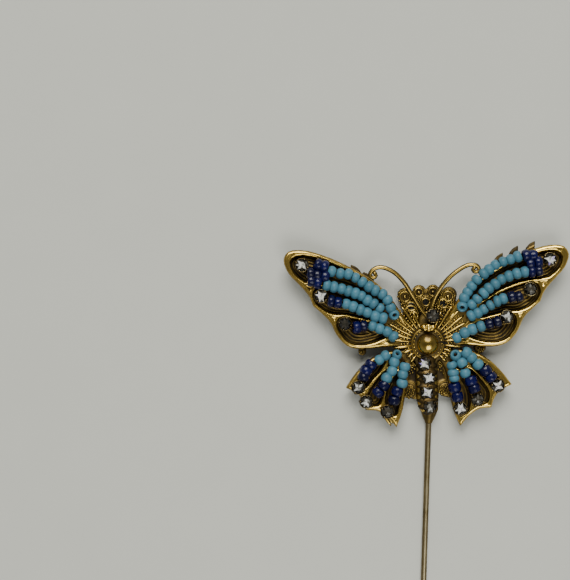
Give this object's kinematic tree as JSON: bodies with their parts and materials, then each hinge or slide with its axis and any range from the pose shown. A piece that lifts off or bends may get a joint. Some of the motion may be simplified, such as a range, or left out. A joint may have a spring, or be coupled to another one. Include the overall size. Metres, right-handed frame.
{
  "type": "decorative hair pin",
  "caption": "Butterfly hair pin with bead-strung, crystal-set brass wings on a long straight pin stem soldered to a pad on its back.",
  "frame": {"origin": "on the flat back of the pad, under the middle of the thorax", "axes": "+Z out of the front of the butterfly, +Y towards its head along the pin, +X towards the wing on the right as seen from the front"},
  "size_m": [0.0546, 0.0955, 0.006],
  "materials": {
    "antique_brass": "antiqued, crests rubbed bright",
    "aged_brass": "dark aged",
    "setting_metal": "tarnished plated brass",
    "turquoise_glass": "opaque glossy",
    "cobalt_glass": "deep transparent, glossy",
    "crystal": "rose-cut, foil-backed"
  },
  "bodies": {
    "root": {"abdomen_crystal_1": "crystal", "abdomen_crystal_2": "crystal", "abdomen_crystal_3": "crystal", "abdomen_crystal_4": "crystal", "abdomen_setting_strip": "setting_metal", "antenna_wire": "antique_brass", "back_pad": "aged_brass", "filigree_back_plate": "aged_brass", "head_cap": "antique_brass", "head_crystal": "crystal", "head_setting": "setting_metal", "left_forewing_cobalt_lower_pair": "cobalt_glass", "left_forewing_cobalt_middle_pair": "cobalt_glass", "left_forewing_cobalt_tip_cluster": "cobalt_glass", "left_forewing_lower_crystal": "crystal", "left_forewing_lower_setting": "setting_metal", "left_forewing_middle_crystal": "crystal", "left_forewing_middle_setting": "setting_metal", "left_forewing_tip_crystal": "crystal", "left_forewing_tip_setting": "setting_metal", "left_forewing_turquoise_lower_row": "turquoise_glass", "left_forewing_turquoise_middle_row": "turquoise_glass", "left_forewing_turquoise_upper_band": "turquoise_glass", "left_hindwing_cobalt_inner_row": "cobalt_glass", "left_hindwing_cobalt_middle_row": "cobalt_glass", "left_hindwing_cobalt_outer_row": "cobalt_glass", "left_hindwing_inner_crystal": "crystal", "left_hindwing_inner_setting": "setting_metal", "left_hindwing_middle_crystal": "crystal", "left_hindwing_middle_setting": "setting_metal", "left_hindwing_outer_crystal": "crystal", "left_hindwing_outer_setting": "setting_metal", "left_hindwing_turquoise_inner_rows": "turquoise_glass", "left_hindwing_turquoise_outer_row": "turquoise_glass", "pin_stem": "aged_brass", "right_forewing_cobalt_lower_pair": "cobalt_glass", "right_forewing_cobalt_middle_pair": "cobalt_glass", "right_forewing_cobalt_tip_cluster": "cobalt_glass", "right_forewing_lower_crystal": "crystal", "right_forewing_lower_setting": "setting_metal", "right_forewing_middle_crystal": "crystal", "right_forewing_middle_setting": "setting_metal", "right_forewing_tip_crystal": "crystal", "right_forewing_tip_setting": "setting_metal", "right_forewing_turquoise_lower_row": "turquoise_glass", "right_forewing_turquoise_middle_row": "turquoise_glass", "right_forewing_turquoise_upper_band": "turquoise_glass", "right_hindwing_cobalt_inner_row": "cobalt_glass", "right_hindwing_cobalt_middle_row": "cobalt_glass", "right_hindwing_cobalt_outer_row": "cobalt_glass", "right_hindwing_inner_crystal": "crystal", "right_hindwing_inner_setting": "setting_metal", "right_hindwing_middle_crystal": "crystal", "right_hindwing_middle_setting": "setting_metal", "right_hindwing_outer_crystal": "crystal", "right_hindwing_outer_setting": "setting_metal", "right_hindwing_turquoise_inner_rows": "turquoise_glass", "right_hindwing_turquoise_outer_row": "turquoise_glass", "thorax_rivet": "antique_brass", "wing_stamping": "antique_brass"}
  },
  "joints": []
}
